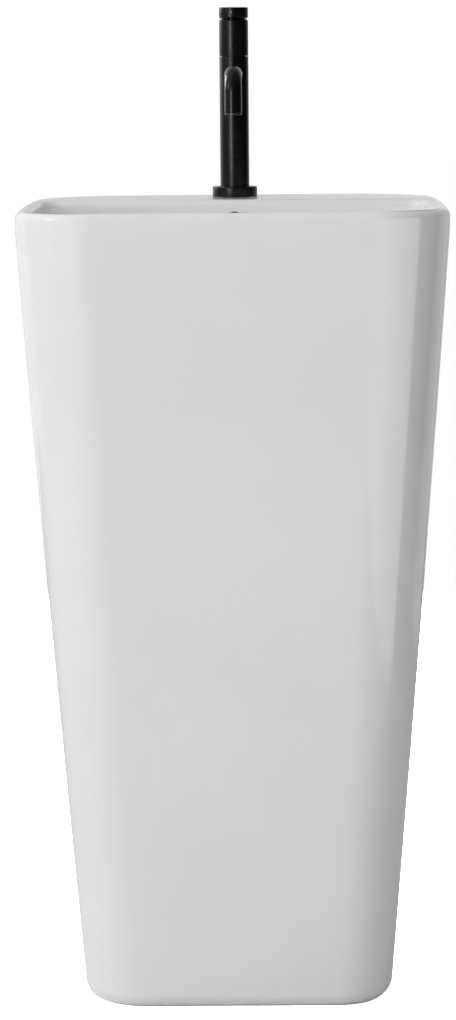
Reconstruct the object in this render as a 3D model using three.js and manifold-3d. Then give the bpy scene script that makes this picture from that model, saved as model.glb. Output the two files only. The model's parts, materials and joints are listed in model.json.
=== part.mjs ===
// One-piece ceramic pedestal sink with a single-hole mixer tap, a click-clack waste and a bottle trap.
// Millimetres, +Z up, the front faces -Y. The origin is on the floor, under the middle of the rim.
import * as THREE from 'three';
import { mergeVertices } from 'three/addons/utils/BufferGeometryUtils.js';
import Module from 'manifold-3d';

const wasm = await Module();
wasm.setup();

// ---------- driving dimensions ----------

const GAP = 0.3;                     // air between neighbouring pieces
const CUT = 5;                       // how far a cutter runs past the face that it cuts

const RIM_HEIGHT = 850;
const RIM_FILLET = 8;
const TAPER_TOP = 830;               // the walls run straight up above this height
// A plan is a rounded rectangle, and `bow` is how far its sides draw in from where it is widest.
const TOP = {
  halfWidth: 228, yFront: -215, yBack: 215, frontRadius: 80, backRadius: 100, bow: 6.5, yWidest: -20,
};
const FOOT = {
  halfWidth: 165.6, yFront: -155, yBack: 215, frontRadius: 59, backRadius: 58, bow: 3, yWidest: 30,
};
const FOOT_FILLET = 18;
const SIDE_SWELL = 1.5;              // how far the tapering sides bow out at half height
const WALL = 12;                     // bowl wall
const SHELL_WALL = 14;               // pedestal wall and deck
const FOOT_WALL = 34;                // thick ring that stands on the floor
const FOOT_RING = { bottom: 25, top: 60 };

const BOWL = {
  halfWidth: 211, yFront: -198, yBack: 80, frontRadius: 62, backRadius: 20, bow: 4, yWidest: -20,
};
const LIP_FILLET = 8;
const BOWL_LEVELS = [                // depth below the rim, and how far the wall has come in
  [8, 0], [42, 0], [75, 6], [102, 17], [120, 32], [131, 50], [138, 74],
];
const DRAIN_Y = (BOWL.yFront + BOWL.yBack) / 2;
const DRAIN_SEAT_RADIUS = 33;
const DRAIN_SEAT_Z = RIM_HEIGHT - 148;
const DRAIN_HOLE_RADIUS = 23;
const BOSS_RADIUS = 45;              // flat pad under the bowl that the waste clamps on
const BOSS_Z = DRAIN_SEAT_Z - 32;

const TAP_Y = 160;
const TAP_HOLE_RADIUS = 18;
const TAP_RADIUS = 16.25;
const TAP_HEIGHTS = {                // above the deck
  shankTop: 3.7, bodyBottom: 4, flangeTop: 11.5, floor: 152, bodyTop: 156.2, neckTop: 180,
  sleeveTop: 197.3, knobBottom: 197.8, screw: 204.8, stemTop: 207, knobTop: 210.4,
};
const FLANGE = { radius: 25, lip: 1.7, gasketRadius: 23 };
const NECK = { radius: 13.2, bore: 11.3 };
const SLEEVE_BORE = 13.5;
const GROOVE = 1.7;                  // chamfer on each side of the groove under the knob
const SPIGOT = { radius: 12.9, length: 3.8 };
const STEM_RADIUS = 4;
const INDICATOR = { radius: 2, depth: 3.25, turn: -9 };
const SPOUT_RADIUS = 9.5;
const SPOUT_BORE = 6.6;
const SPOUT_REACH = 110;
const SPOUT_BEND = 20;
const SPOUT_INSERT = 6;              // length of the spout's end inside the body
const SPOUT_Z = 136.8;               // spout axis above the deck
const SPOUT_END_Z = 95.7;            // lower end of the spout tube above the deck
const SHANK = { radius: 15.8, bore: 12.6, bottom: -58 };
const TAIL = { radius: 4.8, bore: 3, x: 6.3, bottom: -72 };

const OVERFLOW_Z = 824.5;
const OVERFLOW_HOLE_RADIUS = 10.5;
const OVERFLOW_RING = { radius: 12.5, bore: 8, sleeve: 9 };
const OVERFLOW_DUCT = { halfWidth: 16, halfDepth: 7, wall: 6 };
const OVERFLOW_WAY = [               // middle of the duct behind the bowl, as Y and Z
  [99, 838], [98, 800], [92, 764], [82, 734], [67, 711], [46, 699], [21, 691], [-8, 686],
];

const SERVICE = { halfWidth: 90, bottom: 90, top: 770, radius: 40 };
const WALL_FIXING = { x: 80, z: 803, holeRadius: 5.5 };

const WASTE_RADIUS = 22.3;
const WASTE_BORE = 18.6;
const WASTE_BOTTOM = 620;
const WASTE_SLOT = { z: 684, width: 12, height: 9 };
const WASTE_BAR = { z: 650, width: 11, height: 5, holeRadius: 3.8 };
const PLUG_STEM = { bottom: 630, radius: 3.4, collarZ: 663, collarRadius: 5, tipRadius: 3 };
const PIPE_RADIUS = 16;
const PIPE_BORE = 14.4;
const TAILPIECE = { bottom: 440, cone: 600, flare: 2 };
const TRAP_Z = 500;                  // axis of the outlet pipe
const TRAP_RADIUS = 30;
const TRAP_WALL = 3;
const TRAP_HALF_HEIGHT = 28;
const TRAP_NECK = { radius: 22, height: 14 };
const TRAP_BRANCH = { radius: 20, length: 16 };
const TRAP_CUP_DEPTH = 95;           // below the outlet's axis
const TRAP_NUT = { width: 44, height: 12 };
const ROSETTE = { radius: 33, height: 7 };
const STUD_RADIUS = 4;

const CORNER_STEPS = 6;
const SIDE_STEPS = 4;                // straight pieces that make up each bowed side
const FINE = 36;                     // facets round the tap
const COARSE = 20;                   // facets round the small and hidden pieces

// ---------- geometry helpers ----------

function lathe(profile, segments = COARSE) {
  const points = profile.map(([r, z]) => new THREE.Vector2(r, z));
  const geometry = new THREE.LatheGeometry(points, segments);
  geometry.rotateX(Math.PI / 2);
  return geometry;
}

function ring(outer, inner, z0, z1, segments = COARSE) {
  return lathe([[inner, z0], [outer, z0], [outer, z1], [inner, z1], [inner, z0]], segments);
}

function rod(radius, z0, z1, segments = COARSE) {
  return lathe([[0, z0], [radius, z0], [radius, z1], [0, z1]], segments);
}

function hexNut(acrossFlats, hole, z0, z1) {
  const corner = acrossFlats / Math.sqrt(3);
  const shape = new THREE.Shape();
  for (let i = 0; i < 6; i += 1) {
    const angle = (i * Math.PI) / 3;
    const place = [corner * Math.cos(angle), corner * Math.sin(angle)];
    if (i === 0) shape.moveTo(...place);
    else shape.lineTo(...place);
  }
  shape.closePath();
  shape.holes.push(new THREE.Path().absarc(0, 0, hole, 0, 2 * Math.PI, true));
  const options = { depth: z1 - z0, bevelEnabled: false, curveSegments: COARSE };
  return new THREE.ExtrudeGeometry(shape, options).translate(0, 0, z0);
}

// Rounded rectangle as a fixed number of points, counter-clockwise from the front right corner.
function outline(plan) {
  const { halfWidth, yFront, yBack, frontRadius, backRadius, bow = 0, yWidest = 0 } = plan;
  const corners = [
    [halfWidth - frontRadius, yFront + frontRadius, frontRadius],
    [halfWidth - backRadius, yBack - backRadius, backRadius],
    [-halfWidth + backRadius, yBack - backRadius, backRadius],
    [-halfWidth + frontRadius, yFront + frontRadius, frontRadius],
  ];
  const arcs = corners.map(([x, y, radius], corner) => {
    const start = (corner - 1) * (Math.PI / 2);
    return Array.from({ length: CORNER_STEPS + 1 }, (_, i) => {
      const angle = start + (i / CORNER_STEPS) * (Math.PI / 2);
      return new THREE.Vector2(x + radius * Math.cos(angle), y + radius * Math.sin(angle));
    });
  });
  const sideAfter = (arc, next) => Array.from({ length: SIDE_STEPS - 1 }, (_, i) => (
    arc[CORNER_STEPS].clone().lerp(next[0], (i + 1) / SIDE_STEPS)
  ));
  const [frontRight, backRight, backLeft, frontLeft] = arcs;
  const points = [
    ...frontRight, ...sideAfter(frontRight, backRight), ...backRight,
    ...backLeft, ...sideAfter(backLeft, frontLeft), ...frontLeft,
  ];
  for (const point of points) {
    const share = (point.y - yWidest) / ((yBack - yFront) / 2);
    point.x *= 1 - (bow / halfWidth) * share * share;
  }
  return points;
}

// Closed skin over horizontal outlines, given from the bottom up as [z, points].
function loft(levels) {
  const count = levels[0][1].length;
  const positions = levels.flatMap(([z, points]) => points.flatMap((p) => [p.x, p.y, z]));
  const index = [];
  for (let level = 0; level < levels.length - 1; level += 1) {
    for (let i = 0; i < count; i += 1) {
      const a = level * count + i;
      const b = level * count + ((i + 1) % count);
      index.push(a, b, b + count, a, b + count, a + count);
    }
  }
  const last = levels.length - 1;
  const cap = (level) => THREE.ShapeUtils.triangulateShape([...levels[level][1]], []);
  for (const [a, b, c] of cap(0)) index.push(a, c, b);
  for (const corners of cap(last)) index.push(...corners.map((corner) => last * count + corner));
  const geometry = new THREE.BufferGeometry();
  geometry.setAttribute('position', new THREE.Float32BufferAttribute(positions, 3));
  geometry.setIndex(index);
  return geometry;
}

function solid(geometry) {
  const bare = geometry.clone();
  bare.deleteAttribute('normal');
  bare.deleteAttribute('uv');
  const merged = mergeVertices(bare);
  const corners = Array.from(merged.index.array);
  const triangles = corners.filter((_, i) => {
    const first = i - (i % 3);
    const [a, b, c] = corners.slice(first, first + 3);
    return a !== b && b !== c && c !== a;
  });
  const mesh = new wasm.Mesh({
    numProp: 3,
    vertProperties: new Float32Array(merged.attributes.position.array),
    triVerts: new Uint32Array(triangles),
  });
  return new wasm.Manifold(mesh);
}

function fromSolid(manifold) {
  const mesh = manifold.getMesh();
  const geometry = new THREE.BufferGeometry();
  geometry.setAttribute('position', new THREE.Float32BufferAttribute(mesh.vertProperties, 3));
  geometry.setIndex(Array.from(mesh.triVerts));
  geometry.computeVertexNormals();
  return geometry;
}

// The first geometry, joined with every one in `added` and cut by every one in `cut`.
function carve(base, { added = [], cut = [] }) {
  let result = solid(base);
  for (const piece of added) result = result.add(solid(piece));
  for (const piece of cut) result = result.subtract(solid(piece));
  return fromSolid(result);
}

// Turns a piece made along +Z so that it runs along +Y.
function alongY(geometry) {
  return geometry.rotateX(-Math.PI / 2);
}

// ---------- materials ----------

const finish = (color, roughness, metalness) => ({ color, roughness, metalness });
const GLAZE = finish(0xf2f1ee, 0.12, 0);
const BLACK = finish(0x161616, 0.42, 0.3);
const BRASS = finish(0xb8934a, 0.35, 1);
const STEEL = finish(0xb9bcc0, 0.35, 1);
const RUBBER = finish(0x1d1d1d, 0.9, 0);
const PLASTIC = finish(0xe9e9e6, 0.5, 0);
const GREY = finish(0x6c6e70, 0.5, 0.2);

function part(name, geometry, look) {
  const mesh = new THREE.Mesh(geometry, new THREE.MeshStandardMaterial(look));
  mesh.name = name;
  return mesh;
}

// ---------- ceramic body ----------

function shellOutline(z, inset) {
  const t = Math.min(1, Math.max(0, z / TAPER_TOP));
  const mix = (key) => THREE.MathUtils.lerp(FOOT[key], TOP[key], t);
  return outline({
    halfWidth: mix('halfWidth') + SIDE_SWELL * 4 * t * (1 - t) - inset,
    yFront: mix('yFront') + inset,
    yBack: mix('yBack') - inset,
    frontRadius: mix('frontRadius') - inset,
    backRadius: mix('backRadius') - inset,
    bow: mix('bow'),
    yWidest: mix('yWidest'),
  });
}

function outerShell() {
  const levels = [];
  for (const degrees of [0, 22.5, 45, 67.5, 90]) {
    const angle = THREE.MathUtils.degToRad(degrees);
    const z = FOOT_FILLET * (1 - Math.cos(angle));
    levels.push([z, shellOutline(z, FOOT_FILLET * (1 - Math.sin(angle)))]);
  }
  const shaft = RIM_HEIGHT - RIM_FILLET;
  for (const z of [0.25, 0.5, 0.75, 1].map((share) => TAPER_TOP * share)) {
    levels.push([z, shellOutline(z, 0)]);
  }
  for (const degrees of [0, 30, 60, 90]) {
    const angle = THREE.MathUtils.degToRad(degrees);
    const z = shaft + RIM_FILLET * Math.sin(angle);
    levels.push([z, shellOutline(z, RIM_FILLET * (1 - Math.cos(angle)))]);
  }
  return loft(levels);
}

function innerShell() {
  const ceiling = RIM_HEIGHT - SHELL_WALL;
  const levels = [[-CUT, FOOT_WALL], [FOOT_RING.bottom, FOOT_WALL], [FOOT_RING.top, SHELL_WALL]];
  for (const share of [0.3, 0.55, 0.8, 1]) levels.push([ceiling * share, SHELL_WALL]);
  return loft(levels.map(([z, inset]) => [z, shellOutline(z, inset)]));
}

function bowlOutline(inset) {
  const easing = 0.2;                // how much of the walls' way in the corners' radii take up
  return outline({
    halfWidth: BOWL.halfWidth - inset,
    yFront: BOWL.yFront + inset,
    yBack: BOWL.yBack - inset,
    frontRadius: BOWL.frontRadius - easing * inset,
    backRadius: BOWL.backRadius + easing * inset,
    bow: BOWL.bow,
    yWidest: BOWL.yWidest,
  });
}

function drainOutline(radius) {
  return outline({
    halfWidth: radius,
    yFront: DRAIN_Y - radius,
    yBack: DRAIN_Y + radius,
    frontRadius: radius,
    backRadius: radius,
  });
}

// The bowl's hollow, or with a thickness the solid that surrounds it.
function bowl(thickness) {
  const levels = [[DRAIN_SEAT_Z - thickness, drainOutline(DRAIN_SEAT_RADIUS + thickness)]];
  const deepest = RIM_HEIGHT - DRAIN_SEAT_Z;
  for (const [depth, inset] of [...BOWL_LEVELS].reverse()) {
    const drop = depth + (thickness * depth) / deepest;
    levels.push([RIM_HEIGHT - drop, bowlOutline(inset - thickness)]);
  }
  for (const degrees of [30, 60, 90]) {
    const angle = THREE.MathUtils.degToRad(degrees);
    const z = RIM_HEIGHT - LIP_FILLET + LIP_FILLET * Math.sin(angle);
    levels.push([z, bowlOutline(-LIP_FILLET * (1 - Math.cos(angle)) - thickness)]);
  }
  levels.push([RIM_HEIGHT + CUT, bowlOutline(-LIP_FILLET - thickness)]);
  return loft(levels);
}

// Band of a given half thickness along the overflow's way down behind the bowl to the drain.
function overflowBand(halfThickness, halfWidth) {
  const mouth = [DRAIN_Y + DRAIN_HOLE_RADIUS - 2, WASTE_SLOT.z];
  const stations = [...OVERFLOW_WAY, mouth];
  const way = new THREE.SplineCurve(stations.map(([y, z]) => new THREE.Vector2(y, z)));
  const steps = 16;
  const sides = [1, -1].map((side) => Array.from({ length: steps + 1 }, (_, i) => {
    const tangent = way.getTangent(i / steps);
    const normal = new THREE.Vector2(tangent.y, -tangent.x);
    return way.getPoint(i / steps).addScaledVector(normal, side * halfThickness);
  }));
  const shape = new THREE.Shape([...sides[0], ...sides[1].reverse()]);
  const options = { depth: 2 * halfWidth, bevelEnabled: false };
  const band = new THREE.ExtrudeGeometry(shape, options).translate(0, 0, -halfWidth);
  // The shape's x and y are the sink's Y and Z, and its depth is the sink's X.
  band.applyMatrix4(new THREE.Matrix4().set(0, 0, 1, 0, 1, 0, 0, 0, 0, 1, 0, 0, 0, 0, 0, 1));
  return band;
}

function serviceOpening() {
  const { halfWidth, bottom, top, radius } = SERVICE;
  const shape = new THREE.Shape();
  shape.absarc(halfWidth - radius, bottom + radius, radius, -Math.PI / 2, 0);
  shape.absarc(halfWidth - radius, top - radius, radius, 0, Math.PI / 2);
  shape.absarc(-halfWidth + radius, top - radius, radius, Math.PI / 2, Math.PI);
  shape.absarc(-halfWidth + radius, bottom + radius, radius, Math.PI, Math.PI * 1.5);
  const options = { depth: SHELL_WALL + 2 * CUT, bevelEnabled: false, curveSegments: CORNER_STEPS };
  const cutter = new THREE.ExtrudeGeometry(shape, options);
  cutter.rotateX(Math.PI / 2);
  return cutter.translate(0, TOP.yBack + CUT, 0);
}

function ceramicBody() {
  const duct = OVERFLOW_DUCT;
  const hollow = solid(innerShell()).subtract(solid(bowl(WALL)));
  const boss = rod(BOSS_RADIUS, BOSS_Z, DRAIN_SEAT_Z - WALL + 2, COARSE).translate(0, DRAIN_Y, 0);
  const drainHole = rod(DRAIN_HOLE_RADIUS, BOSS_Z - CUT, DRAIN_SEAT_Z + CUT).translate(0, DRAIN_Y, 0);
  const tapHole = rod(TAP_HOLE_RADIUS, RIM_HEIGHT - 2 * SHELL_WALL, RIM_HEIGHT + CUT);
  const overflowHole = alongY(rod(OVERFLOW_HOLE_RADIUS, 0, WALL + 2 * CUT));
  let body = solid(outerShell()).subtract(hollow);
  body = body.add(solid(boss));
  body = body.add(solid(overflowBand(duct.halfDepth + duct.wall, duct.halfWidth + duct.wall)));
  body = body.subtract(solid(bowl(0)));
  body = body.subtract(solid(overflowBand(duct.halfDepth, duct.halfWidth)));
  body = body.subtract(solid(drainHole));
  body = body.subtract(solid(tapHole.translate(0, TAP_Y, 0)));
  body = body.subtract(solid(overflowHole.translate(0, BOWL.yBack - CUT, OVERFLOW_Z)));
  body = body.subtract(solid(serviceOpening()));
  for (const side of [-1, 1]) {
    const hole = alongY(rod(WALL_FIXING.holeRadius, 0, SHELL_WALL + 2 * CUT));
    const y = TOP.yBack - SHELL_WALL - CUT;
    body = body.subtract(solid(hole.translate(side * WALL_FIXING.x, y, WALL_FIXING.z)));
  }
  return part('ceramic_body', fromSolid(body), GLAZE);
}

function overflowRing() {
  const { radius, bore, sleeve } = OVERFLOW_RING;
  const barrel = OVERFLOW_HOLE_RADIUS - GAP;
  const profile = [
    [bore, -1.2], [radius - 1, -1.8], [radius, -1], [radius, 0], [barrel, 0], [barrel, sleeve],
    [bore, sleeve], [bore, -1.2],
  ];
  const mesh = part('overflow_ring', alongY(lathe(profile)), BLACK);
  mesh.position.set(0, BOWL.yBack - GAP, OVERFLOW_Z);
  return mesh;
}

// ---------- mixer tap, in its own frame on the deck ----------

// Spout axis: forward from the body, round a quarter bend and down.
class SpoutWay extends THREE.Curve {
  getPoint(t, target = new THREE.Vector3()) {
    const start = TAP_RADIUS - SPOUT_INSERT;
    const forward = SPOUT_REACH - SPOUT_BEND - start;
    const bend = (SPOUT_BEND * Math.PI) / 2;
    const down = SPOUT_Z - SPOUT_BEND - SPOUT_END_Z;
    const way = t * (forward + bend + down);
    if (way < forward) return target.set(0, -start - way, SPOUT_Z);
    const angle = Math.min((way - forward) / SPOUT_BEND, Math.PI / 2);
    const beyond = Math.max(0, way - forward - bend);
    const y = -start - forward - SPOUT_BEND * Math.sin(angle);
    return target.set(0, y, SPOUT_Z - SPOUT_BEND * (1 - Math.cos(angle)) - beyond);
  }
}

function tapSpout() {
  const shape = new THREE.Shape().absarc(0, 0, SPOUT_RADIUS, 0, 2 * Math.PI);
  shape.holes.push(new THREE.Path().absarc(0, 0, SPOUT_BORE, 0, 2 * Math.PI, true));
  const options = { steps: 22, extrudePath: new SpoutWay(), curveSegments: COARSE / 2 };
  return part('tap_spout', new THREE.ExtrudeGeometry(shape, options), BLACK);
}

function tapBody() {
  const r = TAP_RADIUS;
  const { bodyBottom, floor, bodyTop, neckTop } = TAP_HEIGHTS;
  const body = lathe([
    [0, bodyBottom], [r, bodyBottom], [r, bodyTop], [NECK.radius, bodyTop], [NECK.radius, neckTop],
    [NECK.bore, neckTop], [NECK.bore, floor], [0, floor],
  ], FINE);
  const channel = 5;
  const inlet = { radius: 3, x: 6.5, y: 7 };
  const socketEnd = SPOUT_INSERT + 2 * GAP - r;
  const socket = alongY(rod(SPOUT_RADIUS + GAP, -r - CUT, socketEnd)).translate(0, 0, SPOUT_Z);
  const mixedWater = rod(channel, SPOUT_Z, floor + CUT);
  const spoutPort = alongY(rod(channel, -r, channel)).translate(0, 0, SPOUT_Z);
  const inlets = [-inlet.x, inlet.x].map((x) => {
    const way = rod(inlet.radius, bodyBottom - CUT, floor + CUT, COARSE / 2);
    return way.translate(x, inlet.y, 0);
  });
  const geometry = carve(body, { cut: [socket, mixedWater, spoutPort, ...inlets] });
  return part('tap_body', geometry, BLACK);
}

function tapSleeve() {
  const r = TAP_RADIUS;
  const bottom = TAP_HEIGHTS.bodyTop + GAP;
  const top = TAP_HEIGHTS.sleeveTop;
  const profile = [
    [SLEEVE_BORE, bottom], [r, bottom], [r, top - GROOVE], [r - GROOVE, top], [SLEEVE_BORE, top],
    [SLEEVE_BORE, bottom],
  ];
  return part('tap_sleeve', lathe(profile, FINE), BLACK);
}

function tapFlange() {
  const { radius, lip, gasketRadius } = FLANGE;
  const bore = TAP_RADIUS + GAP;
  const inner = gasketRadius + GAP;
  const ceiling = lip + GAP;
  const top = TAP_HEIGHTS.flangeTop;
  const bevel = 0.9;
  const profile = [
    [bore, ceiling], [inner, ceiling], [inner, GAP], [radius, GAP], [radius, top - bevel],
    [radius - bevel, top], [bore, top], [bore, ceiling],
  ];
  return part('tap_flange', lathe(profile, FINE), BLACK);
}

function cartridgeBody() {
  const bottom = TAP_HEIGHTS.floor + GAP;
  const top = TAP_HEIGHTS.neckTop - GAP;
  const radius = NECK.bore - GAP;
  const hole = { radius: STEM_RADIUS + 1, floor: top - 9.7 };
  const profile = [
    [0, bottom], [radius, bottom], [radius, top - 1.7], [radius - 3, top], [hole.radius, top],
    [hole.radius, hole.floor], [0, hole.floor],
  ];
  return part('cartridge_body', lathe(profile), PLASTIC);
}

// The knob has a spigot that closes the groove from inside; its screw is hidden by a round button.
function knobPieces() {
  const r = TAP_RADIUS;
  const { knobBottom: bottom, knobTop: top, stemTop, screw: screwZ, neckTop } = TAP_HEIGHTS;
  const socket = STEM_RADIUS + GAP;
  const spigotBottom = bottom - SPIGOT.length;
  const knob = lathe([
    [socket, spigotBottom], [SPIGOT.radius, spigotBottom], [SPIGOT.radius, bottom],
    [r - GROOVE, bottom], [r, bottom + GROOVE], [r, top - 1], [r - 1, top], [0, top],
    [0, stemTop + GAP], [socket, stemTop + GAP], [socket, spigotBottom],
  ], FINE);
  const inFront = (radius, from, to) => {
    const pin = alongY(rod(radius, from, to, 12));
    return pin.rotateZ(THREE.MathUtils.degToRad(INDICATOR.turn)).translate(0, 0, screwZ);
  };
  const screwHole = inFront(INDICATOR.radius + GAP, -r - CUT, -socket + 1);
  const buttonBack = INDICATOR.depth - r;
  return [
    part('cartridge_stem', rod(STEM_RADIUS, neckTop - 9.7, stemTop), BRASS),
    part('tap_knob', carve(knob, { cut: [screwHole] }), BLACK),
    part('knob_set_screw', inFront(INDICATOR.radius, buttonBack + GAP, -socket), STEEL),
    part('knob_indicator', inFront(INDICATOR.radius, -r, buttonBack), GREY),
  ];
}

function aeratorPieces() {
  const end = SPOUT_END_Z;
  const wall = 1.1;
  const thread = SPOUT_BORE - GAP;
  const bore = thread - wall;
  const rim = { bottom: end - 2.4, radius: SPOUT_RADIUS - GAP, bevel: 0.4 };
  const housing = lathe([
    [bore, rim.bottom], [rim.radius - rim.bevel, rim.bottom], [rim.radius, rim.bottom + rim.bevel],
    [rim.radius, end - GAP], [thread, end - GAP], [thread, end + 6], [bore, end + 6],
    [bore, rim.bottom],
  ]);
  const jet = 0.9;
  const jetCircle = 3;
  const holes = [rod(jet, end - CUT, end + CUT, 8)];
  for (let i = 0; i < 6; i += 1) {
    const angle = (i * Math.PI) / 3;
    const hole = rod(jet, end - CUT, end + CUT, 8);
    holes.push(hole.translate(jetCircle * Math.cos(angle), jetCircle * Math.sin(angle), 0));
  }
  const insert = carve(rod(bore - GAP, end - 1.6, end + 3), { cut: holes });
  const pieces = [part('aerator_housing', housing, GREY), part('aerator_insert', insert, PLASTIC)];
  for (const piece of pieces) piece.position.y = -SPOUT_REACH;
  return pieces;
}

// Everything that clamps the tap from under the deck, stacked downwards from the deck's underside.
function underDeckPieces() {
  const bore = SHANK.radius + GAP;
  const washerRadius = FLANGE.gasketRadius;
  const rubberTop = -SHELL_WALL - GAP;
  const steelTop = rubberTop - 3 - GAP;
  const nutTop = steelTop - 1.5 - GAP;
  const top = TAP_HEIGHTS.shankTop;
  const pieces = [
    part('tap_shank', ring(SHANK.radius, SHANK.bore, SHANK.bottom, top), BRASS),
    part('deck_rubber_washer', ring(washerRadius, bore, rubberTop - 3, rubberTop), RUBBER),
    part('deck_steel_washer', ring(washerRadius, bore, steelTop - 1.5, steelTop), STEEL),
    part('tap_nut', hexNut(41, bore, nutTop - 11.6, nutTop), BRASS),
  ];
  for (const [name, x] of [['hot_inlet_tail', -TAIL.x], ['cold_inlet_tail', TAIL.x]]) {
    const tail = ring(TAIL.radius, TAIL.bore, TAIL.bottom, top, 16).translate(x, 0, 0);
    pieces.push(part(name, tail, STEEL));
  }
  return pieces;
}

function tap() {
  const group = new THREE.Group();
  group.position.set(0, TAP_Y, RIM_HEIGHT);
  const gasket = ring(FLANGE.gasketRadius, TAP_HOLE_RADIUS - 1, GAP, FLANGE.lip);
  const nutBottom = TAP_HEIGHTS.neckTop + GAP;
  group.add(part('tap_base_gasket', gasket, RUBBER));
  group.add(tapFlange(), tapBody(), tapSpout(), ...aeratorPieces(), tapSleeve(), cartridgeBody());
  group.add(part('cartridge_nut', hexNut(22, STEM_RADIUS + 2, nutBottom, nutBottom + 5.7), BRASS));
  group.add(...knobPieces(), ...underDeckPieces());
  return group;
}

// ---------- waste, plug and trap, in a frame on the drain's axis ----------

function wasteBody() {
  const seat = DRAIN_SEAT_Z;
  const r = WASTE_RADIUS;
  const bore = WASTE_BORE;
  const end = WASTE_BOTTOM;
  const rim = 31.5;
  const body = lathe([
    [bore, end], [r, end], [r, seat + 1.6], [rim, seat + 1.6], [rim, seat + 2.6],
    [rim - 3.5, seat + 4], [rim - 7.5, seat + 4], [bore, seat - 6], [bore, end],
  ], COARSE + 4);
  const across = 2 * (r + CUT);
  const slot = new THREE.BoxGeometry(across, WASTE_SLOT.width, WASTE_SLOT.height);
  slot.translate(0, 0, WASTE_SLOT.z);
  const crossSlot = slot.clone().rotateZ(Math.PI / 2);
  const bar = new THREE.BoxGeometry(2 * (bore + 1), WASTE_BAR.width, WASTE_BAR.height);
  bar.translate(0, 0, WASTE_BAR.z);
  const guideHole = rod(WASTE_BAR.holeRadius, WASTE_BAR.z - 2 * CUT, WASTE_BAR.z + 2 * CUT);
  const geometry = carve(body, { added: [bar], cut: [slot, crossSlot, guideHole] });
  return part('waste_body', geometry, BLACK);
}

function plugPieces() {
  const seat = DRAIN_SEAT_Z;
  const stem = PLUG_STEM;
  const cap = lathe([
    [0, seat + 1], [17, seat + 1], [21, seat + 1.6], [23.5, seat + 4.4], [30, seat + 4.4],
    [30, seat + 5.4], [26, seat + 6.8], [16, seat + 8.3], [0, seat + 9],
  ], COARSE + 4);
  const collarTop = stem.collarZ + 2;
  const tip = seat + 4;
  const socket = rod(stem.tipRadius + GAP, seat - CUT, tip + GAP);
  return [
    part('plug_cap', carve(cap, { cut: [socket] }), BLACK),
    part('plug_seal', ring(17, stem.tipRadius + 3 * GAP, seat - 2, seat + 0.7), RUBBER),
    part('plug_stem', lathe([
      [0, stem.bottom], [stem.radius, stem.bottom], [stem.radius, stem.collarZ],
      [stem.collarRadius, stem.collarZ], [stem.collarRadius, collarTop],
      [stem.tipRadius, collarTop], [stem.tipRadius, tip], [0, tip],
    ]), BRASS),
  ];
}

function trapCup(joint) {
  const r = TRAP_RADIUS;
  const wall = TRAP_WALL;
  const floor = TRAP_Z - TRAP_CUP_DEPTH;
  const skirt = joint + 7;           // the cup's collar laps over the body
  const landing = joint - wall;      // where the seal lies
  return lathe([
    [0, floor], [r - 8, floor], [r - 1, floor + 8], [r + 2.5, floor + 14], [r + 2.5, skirt],
    [r + GAP, skirt], [r + GAP, landing], [r - wall, landing], [r - wall, floor + 9],
    [r - 9, floor + wall], [0, floor + wall],
  ], COARSE + 4);
}

function trapBody(joint, roof) {
  const r = TRAP_RADIUS;
  const wall = TRAP_WALL;
  const bore = PIPE_RADIUS + GAP;
  const neckTop = roof + TRAP_NECK.height;
  const shell = lathe([
    [r - wall, joint], [r, joint], [r, roof], [TRAP_NECK.radius, roof], [TRAP_NECK.radius, neckTop],
    [bore, neckTop], [bore, roof - wall], [r - wall, roof - wall], [r - wall, joint],
  ], COARSE + 4);
  const branchEnd = r + TRAP_BRANCH.length;
  const branch = alongY(rod(TRAP_BRANCH.radius, r - 3 * wall, branchEnd)).translate(0, 0, TRAP_Z);
  const branchBore = alongY(rod(bore, r - 3 * wall, branchEnd + CUT)).translate(0, 0, TRAP_Z);
  const inside = rod(r - wall, joint + 2, roof - wall - 2);
  return carve(carve(shell, { added: [branch] }), { cut: [branchBore, inside] });
}

function trapPieces() {
  const r = TRAP_RADIUS;
  const z = TRAP_Z;
  const bore = PIPE_RADIUS + GAP;
  const wallFace = TOP.yBack - DRAIN_Y - GAP;
  const roof = z + TRAP_HALF_HEIGHT;
  const joint = z - TRAP_HALF_HEIGHT;
  const seal = ring(r - GAP, r - TRAP_WALL, joint - TRAP_WALL + GAP, joint - GAP);
  const inletNutBottom = roof + TRAP_NECK.height + GAP;
  const inletNut = hexNut(TRAP_NUT.width, bore, inletNutBottom, inletNutBottom + TRAP_NUT.height);
  const outletNutStart = r + TRAP_BRANCH.length + GAP;
  const outletNut = hexNut(TRAP_NUT.width, bore, outletNutStart, outletNutStart + TRAP_NUT.height);
  const outlet = ring(PIPE_RADIUS, PIPE_BORE, r - 8, wallFace);
  const { radius: outer, height } = ROSETTE;
  const rosette = lathe([
    [bore, -height], [bore + 3, -height], [outer - 1, -3], [outer, 0], [outer - 3, 0],
    [bore, 3.5 - height], [bore, -height],
  ]);
  return [
    part('trap_body', trapBody(joint, roof), PLASTIC),
    part('trap_cup', trapCup(joint), PLASTIC),
    part('trap_cup_seal', seal, RUBBER),
    part('trap_inlet_nut', inletNut, PLASTIC),
    part('trap_outlet_nut', alongY(outletNut).translate(0, 0, z), PLASTIC),
    part('trap_outlet_pipe', alongY(outlet).translate(0, 0, z), PLASTIC),
    part('outlet_rosette', alongY(rosette).translate(0, wallFace, z), STEEL),
  ];
}

function tailpiece() {
  const { bottom, cone, flare } = TAILPIECE;
  const top = WASTE_BOTTOM - GAP;
  return part('tailpiece', lathe([
    [PIPE_BORE, bottom], [PIPE_RADIUS, bottom], [PIPE_RADIUS, cone], [PIPE_RADIUS + flare, cone + 4],
    [PIPE_RADIUS + flare, top], [PIPE_BORE, top], [PIPE_BORE, bottom],
  ]), STEEL);
}

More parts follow.
